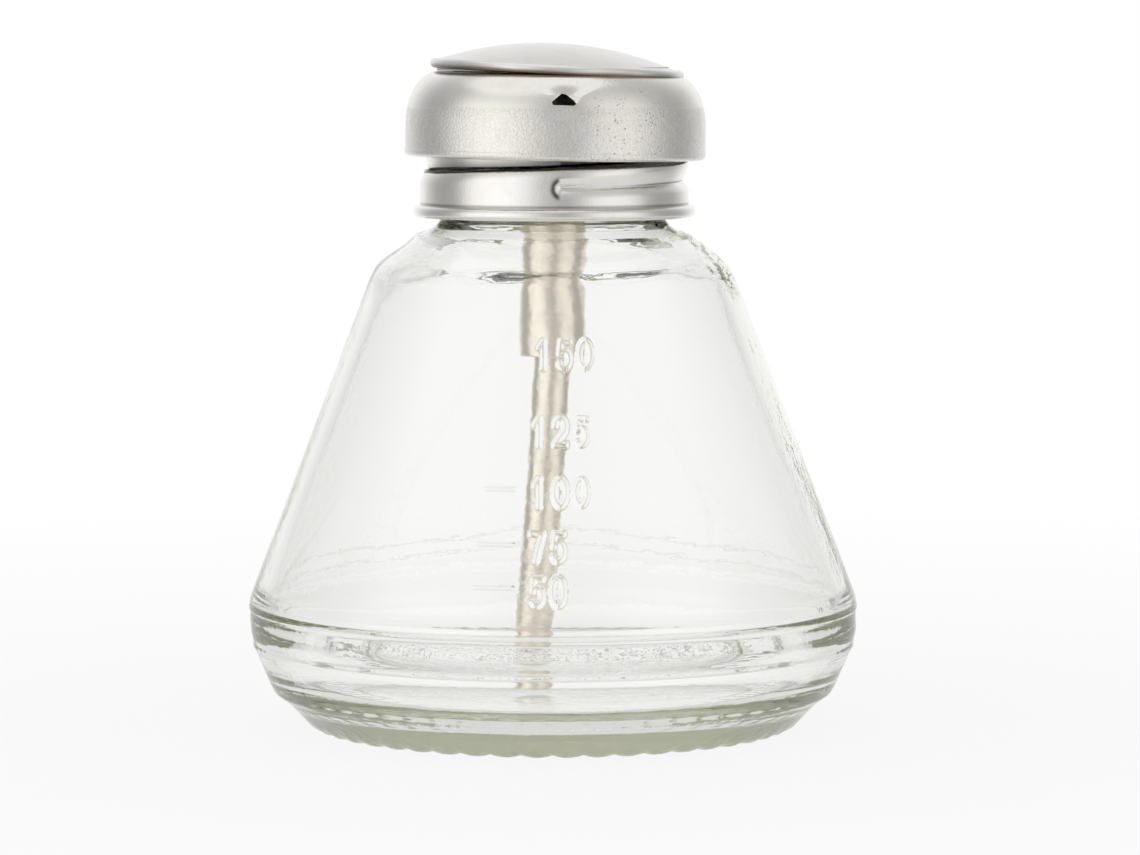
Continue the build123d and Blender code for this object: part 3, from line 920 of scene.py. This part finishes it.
def mark_groove_shade_grime(piece):
    """Marks painted shade in the groove, blackest in its second turn under the band, with some real tarnish
    in its crease, painted shade in the corner above the bead, and a painted dark reflection round the dent.
    """
    x, y, height = mesh_points(piece.data).T / MM
    angle = np.degrees(np.arctan2(y, x))
    # Painted shade in the corner above the bead
    shading_grime = 0.8 * bell(height, collar_bottom + 1.8, 0.09)
    # Painted shade along the crease with some real tarnish, blackest in the second turn under the band
    for turn, strength in ((0, 0.8), (360, 1.0)):
        along = groove_place(angle, turn)
        offset = height - crease_height(along)
        reach = np.where(offset > 0, np.interp(along, shade_grime_turns, shade_grime_above), shade_grime_below)
        start = np.interp(along, (8, 70), (0.25, 1.0))
        shading_grime = np.maximum(shading_grime, strength * start * bell(offset, 0, reach))
    # A crescent of painted dark reflection round the dent at the groove's start
    before = np.radians(from_front(angle - groove_front)) * collar_radius
    offset = height - crease_heights[0]
    ring = np.hypot(before / dent_reach, offset / np.where(offset > 0, groove_over * 0.62, groove_under))
    crescent = bell(ring, 0.85, 0.27) * unit(-before / 0.45)
    shading_grime = np.maximum(shading_grime, 0.95 * crescent)
    mark_points(piece, np.where(np.hypot(x, y) > 15.8, shading_grime, 0.0))


def make_collar():
    """Thin ferrule: curled bead below, rolled thread, round top corner and a flat top with a hole."""
    inner, top = collar_radius - collar_sheet, collar_top - collar_sheet
    bead_half = (bead_crest - inner) / 2
    outside = arc((bead_crest - bead_half, collar_bottom + bead_rise), bead_half, bead_rise, 180, 480, 22)
    outside += [(collar_radius + 0.03, collar_bottom + 1.75), (collar_radius, collar_wall_bottom)]
    wall_start = len(outside)
    outside += divided([outside[-1], (collar_radius, collar_wall_top)], 0.11)[1:]
    wall_end = len(outside) - 2
    corner = [outside[-1], (collar_radius, collar_top, 1.25), (collar_hole, collar_top)]
    outside += rounded(corner, 8)[1:]
    inside = rounded([(collar_hole, top), (inner, top, 0.9), (inner, collar_wall_top)], 6)
    inside += divided([inside[-1], (inner, collar_wall_bottom)], 0.16)[1:]
    inside += [(inner, collar_bottom + 1.0)]
    window = (wall_start, wall_end, 6, 8)
    piece = turned("collar", outside + inside, 360, collar_form, closed=True, window=window, fine=3)
    mark_groove_shade_grime(piece)
    piece.data.transform(Matrix.Translation((collar_shift * MM, 0, 0)))
    finish_piece(piece, "collar", "bright_nickel", "screw_collar")


# Head

notch_height = 82.6
# Corners of the notch's slit: across, and up from the notch's height
slit_corners = (
    (-1.6, -0.73), (-1.75, -0.33), (-0.8, 0.45), (-0.45, 0.75), (0.15, 0.6), (1.05, -0.08), (1.4, -0.53),
    (1.1, -0.78),
)
# From outside the band to inside its sheet
slit_depths = (-band_radius - 3, -14)


def scoop(angle, height):
    """How far the sheet is pressed in above the notch: a funnel that narrows down to the slit."""
    across = np.radians(from_front(angle)) * band_radius
    above = height - (notch_height - 0.75)
    half = 1.45 + np.clip(above, 0, 3) * 0.75 + np.clip(above - 1.3, 0, 3) * 1.5
    shape = unit(1 - (across / half) ** 2) ** 1.6
    depth = 0.85 * unit(above / 0.55) * unit(1 - (above - 0.4) / 3.4) ** 1.3
    return shape * depth + 0.2 * bell(across, 0, 2.2) * bell(above, -0.8, 1.0)


def band_form(angle, radius, height):
    """Notch, worn unevenness and a small step above the lower edge."""
    wear = 0.03 * waves(angle * 2, height * 3, 11) * (radius > band_flat_radius + 1)
    step = 0.05 * unit((band_bottom + 1.0 - height) / 0.12) * (radius > band_radius - 0.3)
    return radius - scoop(angle, height) - wear + step, height


def cut_slit(piece):
    """Cuts the notch's slit, a low worn triangle below the funnel, through the sheet."""
    points = [(across, depth, notch_height + up) for depth in slit_depths for across, up in slit_corners]
    count = len(slit_corners)
    polygons = [list(range(count)), list(range(2 * count - 1, count - 1, -1))]
    polygons += [[a, d, c, b] for a, b, c, d in sleeve(1, count)]
    tool = mesh_piece("slit_tool", points, polygons)
    cut = piece.modifiers.new("slit", "BOOLEAN")
    cut.object = tool
    cut.operation = "DIFFERENCE"
    cut.solver = "EXACT"
    bpy.context.view_layer.objects.active = piece
    bpy.ops.object.select_all(action="DESELECT")
    piece.select_set(True)
    bpy.ops.object.modifier_apply(modifier=cut.name)
    bpy.data.objects.remove(tool)
    piece.data.shade_smooth()
    piece.data.set_sharp_from_angle(angle=math.radians(40))


def make_band():
    """Deep skirt with an elliptical shoulder, a flat rim under the lid and a lower edge curled in."""
    high_half = band_top - band_shoulder
    across = band_radius - band_flat_radius
    outside = divided([(band_radius, band_bottom + band_curl), (band_radius, band_bottom + 1.1)], 0.06)
    outside += divided([outside[-1], (band_radius, band_shoulder)], 0.5)[1:]
    straight = len(outside)
    outside += arc((band_flat_radius, band_shoulder), across, high_half, 0, 90, 44)[1:]
    rim = band_flat_radius - 0.8
    top = [(rim + 0.1, band_top), (rim, band_top - 0.1), (rim, band_top - sheet)]
    inside = arc((band_flat_radius, band_shoulder), across - sheet, high_half - sheet, 90, 0, 34)
    inside += divided([inside[-1], (band_radius - sheet, band_bottom + band_curl)], 0.8)[1:]
    curl_middle = (band_radius - band_curl, band_bottom + band_curl)
    inside += arc(curl_middle, band_curl - sheet, band_curl - sheet, 0, -90, 4)[1:]
    lip = band_radius - band_curl - 0.4
    inside += [(lip, band_bottom + sheet), (lip - 0.08, band_bottom + sheet / 2), (lip, band_bottom)]
    inside += arc(curl_middle, band_curl, band_curl, -90, 0, 8)[:-1]
    window = (straight - 3, straight + 40, 9, 9)
    piece = turned("band", outside + top + inside, 240, band_form, closed=True, window=window, fine=4)
    cut_slit(piece)
    turn_piece(piece, head_turn)
    lean_piece(piece, head_lean, band_shoulder, band_lift)
    finish_piece(piece, "head", "satin_steel", "head_band", material=band_metal)


def mark_hem(piece):
    """Marks a dark brown along the lower half of the lid's rolled hem."""
    x, y, height = mesh_points(piece.data).T / MM
    turn = np.arctan2(y, x)
    level = 0.45 + 0.07 * np.sin(5 * turn) + 0.06 * np.sin(11 * turn + 1)
    on_hem = np.hypot(x, y) > lid_radius - 1.0
    mark_points(piece, 0.95 * unit(1.7 - (height - lid_bottom) / level) * on_hem)


def make_lid():
    """Domed disc whose hem is rolled under, with a faint crease where the dome meets the rim."""
    hem = lid_hem / 2
    reach = lid_radius - hem
    edge = reach - 1.0
    rim_top = lid_bottom + lid_hem
    crown = lid_top - dome_drop
    rise = crown - rim_top - 0.12
    ball = (edge**2 + rise**2) / (2 * rise)

    def dome(radius):
        return (radius, crown - ball + math.sqrt(ball**2 - radius**2))

    crease = [(reach - 0.25, rim_top - 0.05), (reach - 0.6, rim_top - 0.02)]
    outside = arc((reach, lid_bottom + hem), hem, hem, -90, 78, 14) + crease
    outside += [dome(edge * (1 - step / 30)) for step in range(30)] + [(0, crown)]
    under = [dome((reach - 0.5) * step / 23) for step in range(24)]
    under = [(radius, height - sheet) for radius, height in under]
    lip = reach - 1.2
    closing = [
        (reach - 0.05, lid_bottom + sheet + 0.15),
        (reach - 0.2, lid_bottom + sheet),
        (lip, lid_bottom + sheet),
        (lip - 0.06, lid_bottom + sheet / 2),
        (lip, lid_bottom),
    ]
    piece = turned("lid_disc", outside[::-1] + closing[::-1] + under[::-1], 224)
    mark_hem(piece)
    lean_piece(piece, lid_lean, lid_bottom + 0.4, lid_play, lid_shift)
    finish_piece(piece, "lid", "satin_steel", "lid")


def make_knuckle():
    """Curl of sheet round the hinge pin, on a tab from the lid's hem."""
    across, back, pin_height = (np.array(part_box("hinge_pin")).sum(axis=0) / 2 / MM).tolist()
    pin_back = math.hypot(across, back)
    outer, inner, half_width, half_sheet = 1.15, 0.65, 1.8, 0.25
    meet = math.degrees(math.asin(half_sheet / outer))
    angles = np.radians(np.append(np.linspace(180 - meet, -180 + meet, 33), 180))
    rim, hole = ([(pin_back + size * math.cos(a), pin_height + size * math.sin(a)) for a in angles]
                 for size in (outer, inner))
    front = lid_radius - 1.0
    outline = rim + hole + [(front, pin_height - half_sheet), (front, pin_height + half_sheet)]
    count, size = len(rim), len(outline)
    points = [(side * half_width, y, z) for side in (-1, 1) for y, z in outline]
    tab = [count - 2, size - 2, size - 1, 0]
    polygons = sleeve(1, count) + [tab + [count - 1]]
    polygons += [[corner + size for corner in face[::-1]] for face in polygons]
    walls = list(zip(range(count - 2), range(1, count - 1))) + list(zip(tab, tab[1:]))
    polygons += [[a, a + size, b + size, b] for a, b in walls]
    polygons += sleeve(1, count, count, size)
    piece = mesh_piece("lid_knuckle", points, polygons, 40)
    turn_piece(piece, head_turn)
    finish_piece(piece, "lid", "satin_steel")


def make_dish():
    """Shallow bowl with a flat flange under the band's rim."""
    bottom = low("dish", 2)
    rim = high("dish", 2)
    hole = 1.42
    upper = rounded([(hole, bottom + sheet), (4.8, bottom + sheet, 8.0), (13.4, rim, 1.6), (15.5, rim)], 10)
    lower = rounded([(15.5, rim - sheet), (13.5, rim - sheet, 1.1), (4.8, bottom, 8.0), (hole, bottom)], 10)
    piece = turned("dish_bowl", supported(upper + lower, 0.2), 160, closed=True)
    lean_piece(piece, head_lean, band_shoulder)
    finish_piece(piece, "head", "satin_steel", "dish")


def barrel_form(angle, radius, height):
    """Faint dents of a drawn tube."""
    return radius - 0.03 * (1 + waves(angle * 2, height * 8, 3)), height


def make_barrel():
    """Drawn tube with a slightly rolled lower edge."""
    inner = barrel_radius - sheet
    outside = rounded([
        (inner, barrel_bottom + 0.2),
        (inner + 0.05, barrel_bottom, 0.1),
        (barrel_radius, barrel_bottom, 0.22),
        (barrel_radius, barrel_top),
    ], 5)
    profile = supported(outside + [(inner, barrel_top)], 0.3)
    piece = turned("barrel", divided(profile, 0.9), 96, barrel_form, closed=True)
    finish_piece(piece, "pump_body", "warm_nickel", "pump_cylinder")


tube_slant = 3.9
tube_straight = 3.5


def make_dip_tube():
    """Slanted suction tube, cut square at its foot, swept along the route of the plain one."""
    radius = high("dip_tube", 1)
    top = high("dip_tube", 2)
    slant = math.radians(tube_slant)
    foot = low("dip_tube", 2) + radius * math.sin(slant)
    steps, sides = 60, 48
    points = []
    for size in (radius, radius - sheet):
        for step in range(steps + 1):
            down = top - (top - foot) * step / steps
            fall = max(0.0, top - tube_straight - down)
            shift = -fall * math.tan(slant) * min(1.0, fall / 3.0) ** 0.5
            lean = slant * min(1.0, fall / 2.0)
            dented = size * (1 + 0.012 * math.sin(1.9 * step) * math.sin(0.7 * step + 1))
            for side in range(sides):
                turn = 2 * math.pi * side / sides
                x, y = dented * math.cos(turn), dented * math.sin(turn)
                points.append((shift + x * math.cos(lean), y, down - x * math.sin(lean)))
    inner = (steps + 1) * sides
    polygons = [face[::-1] for face in sleeve(steps, sides)] + sleeve(steps, sides, inner)
    polygons += sleeve(1, sides, 0, inner)
    polygons += [face[::-1] for face in sleeve(1, sides, steps * sides, inner)]
    piece = mesh_piece("suction_tube", points, polygons)
    finish_piece(piece, "pump_body", "warm_nickel", "dip_tube")


def make_spring():
    """Return spring of round wire."""
    foot, crown = low("pump_spring", 2), high("pump_spring", 2)
    half = spring_wire / 2
    coil = high("pump_spring", 0) - half
    rise = crown - foot - spring_wire
    climb = math.atan2(rise / spring_turns, 2 * math.pi * coil)
    steps, sides = 60 * spring_turns, 14
    points = []
    for step in range(steps + 1):
        turn = 2 * math.pi * spring_turns * step / steps
        out = np.array([math.cos(turn), math.sin(turn), 0])
        up = np.array([math.sin(turn) * math.sin(climb), -math.cos(turn) * math.sin(climb), math.cos(climb)])
        middle = coil * out + np.array([0, 0, foot + half + rise * step / steps])
        for side in range(sides):
            angle = 2 * math.pi * side / sides
            points.append(middle + half * (math.cos(angle) * out + math.sin(angle) * up))
    ends = [list(range(sides))[::-1], list(range(steps * sides, (steps + 1) * sides))]
    piece = mesh_piece("return_spring", points, sleeve(steps, sides) + ends)
    finish_piece(piece, "head", "polished_steel", "pump_spring")
    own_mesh(piece)


# Stage

# Brightness round the studio, by the angle to the right of the camera's side
studio = (
    (-180, 1.0), (-155, 0.95), (-122, 0.42), (-104, 0.38), (-92, 0.46), (-84, 0.72), (-74, 1.02),
    (-60, 1.12), (-42, 1.14), (-26, 0.98), (-8, 0.6), (9, 0.43), (22, 0.62), (34, 0.88), (46, 0.97),
    (64, 0.94), (76, 0.76), (88, 0.48), (100, 0.38), (122, 0.42), (155, 0.95), (180, 1.0),
)


def studio_light(direction):
    """Brightness of the studio in a direction seen from the object."""
    x, y, _ = axes(direction)
    angle = calc("ARCTAN2", x, times(y, -1.0))
    place = scaled(angle, 1 / (2 * math.pi), 0.5)
    return ramp(place, [((a + 180) / 360, v) for a, v in studio])


def seen_plain(path):
    """One for the camera and for what is seen straight through the glass, without a reflection."""
    through = calc("LESS_THAN", path.outputs["Glossy Depth"], 0.5)
    through = times(path.outputs["Is Transmission Ray"], through)
    return larger(path.outputs["Is Camera Ray"], through)


def make_floor():
    """White table that glows towards the camera further out, and keeps the soft shadow near the object."""
    bpy.ops.mesh.primitive_plane_add(size=8)
    floor = bpy.context.object
    floor.name = "floor"
    material, place = new_material("floor_white")
    away = vector_length(place)
    path = node("LightPath", tree=material.node_tree)
    pale = node("BsdfDiffuse", {"Color": (0.86, 0.86, 0.86, 1)}, material.node_tree)
    far = ramp(away, [(0.07, 0.0), (0.22, 1.0)])
    mirrored = colour_mix(far, (0.8, 0.8, 0.8), studio_light(place))
    colour = colour_mix(seen_plain(path), mirrored, (1.0, 1.0, 1.0))
    glow = node("Emission", {"Color": colour, "Strength": 1.0})
    seen = larger(path.outputs["Is Camera Ray"], path.outputs["Is Transmission Ray"])
    seen = larger(seen, path.outputs["Is Glossy Ray"])
    near = scaled(ramp(away, [(0.06, 0.0), (0.3, 1.0)]), 0.14, 0.86)
    mixed = node("MixShader", {0: times(seen, near), 1: pale.outputs[0], 2: glow.outputs[0]})
    node("OutputMaterial", {"Surface": mixed.outputs[0]})
    floor.data.materials.append(material)


def make_world():
    world = bpy.data.worlds.new("studio")
    bpy.context.scene.world = world
    world.use_nodes = True
    tree = world.node_tree
    tree.nodes.clear()
    direction = node("TexCoord", tree=tree).outputs["Generated"]
    upward = ramp(axes(direction)[2], [(0.3, 0.0), (0.85, 1.0)])
    sky = colour_mix(upward, studio_light(direction), (0.55, 0.55, 0.55))
    colour = colour_mix(seen_plain(node("LightPath", tree=tree)), sky, (1.0, 1.0, 1.0))
    background = node("Background", {"Color": colour, "Strength": 1.0})
    node("OutputWorld", {"Surface": background.outputs[0]})


def make_lamps():
    lamp = bpy.data.lights.new("overhead", "AREA")
    lamp.shape = "DISK"
    lamp.size = 1.2
    lamp.energy = 1.3
    overhead = new_object("overhead", lamp)
    overhead.location = (-0.15, -0.15, 0.9)
    overhead.rotation_euler = (math.radians(-9), math.radians(-9), 0)


camera_lens = 148
camera_place = (0.00225, -0.6187, 0.0899)
camera_tilt = 4.66


def make_camera():
    """Long lens at the height of the lid, tilted down so that the object's middle is framed."""
    data = bpy.data.cameras.new("camera")
    data.sensor_width = 36
    data.lens = camera_lens
    data.clip_start, data.clip_end = 0.01, 50
    camera = new_object("camera", data)
    camera.location = camera_place
    camera.rotation_euler = (math.radians(90 - camera_tilt), 0, 0)
    bpy.context.scene.camera = camera


brown = (0.2, 0.15, 0.11)
# Near-black painted shade for the collar's groove and bead corner, with some tarnish in the groove
shade_grime_black = (0.03, 0.026, 0.022)
band_metal = metal("satin_band", (0.92, 0.9, 0.86), 0.18, 0.03, grain=0.3, relief=0.06, streaks=0.0022,
                   pits=(0.03, (9.0, -17.5, 79.0), 10.0), border=82.2)
pale_rubber = rubber("pale_rubber", (0.62, 0.63, 0.56))
# Materials of the pieces and of the plain solids that stay
by_slot = {
    "satin_steel": metal("satin_lid", (0.87, 0.86, 0.835), 0.26, 0.03, grain=0.35, relief=0.025,
                         shade_and_grime=brown),
    # The collar's marks are painted near-black shade, with some tarnish in its groove
    "bright_nickel": metal("rolled_collar", (0.89, 0.875, 0.845), 0.11, 0.03, grain=0.35, relief=0.02,
                           shade_and_grime=shade_grime_black),
    "warm_nickel": metal("warm_tube", (1.0, 0.94, 0.83), 0.22, 0.04, dents=0.12),
    "steel": metal("steel", (0.6, 0.6, 0.6), 0.3, 0.04, streaks=0.003),
    "polished_steel": metal("polished_steel", (0.75, 0.75, 0.76), 0.1, 0.02),
    "white_plastic": plastic("white_plastic", (0.82, 0.82, 0.79)),
    "seal_rubber": rubber("seal_rubber", (0.03, 0.03, 0.03)),
}

bpy.context.scene.view_settings.view_transform = "Standard"
# Light goes round inside the thick glass many times before it comes out
light_turns = 40
cycles = bpy.context.scene.cycles
cycles.max_bounces = cycles.glossy_bounces = cycles.transmission_bounces = light_turns
make_camera()
make_world()
make_lamps()
make_floor()
make_bottle()
make_collar()
make_band()
make_lid()
make_knuckle()
make_dish()
make_barrel()
make_dip_tube()
make_spring()

slots = {part["node"]: part["material_slot"] for part in frame["record"]["subparts"]}
for name, cad in frame["nodes"].items():
    if not cad.hide_render and slots[name] in by_slot:
        cad.data.materials.clear()
        cad.data.materials.append(pale_rubber if name == "neck_gasket" else by_slot[slots[name]])
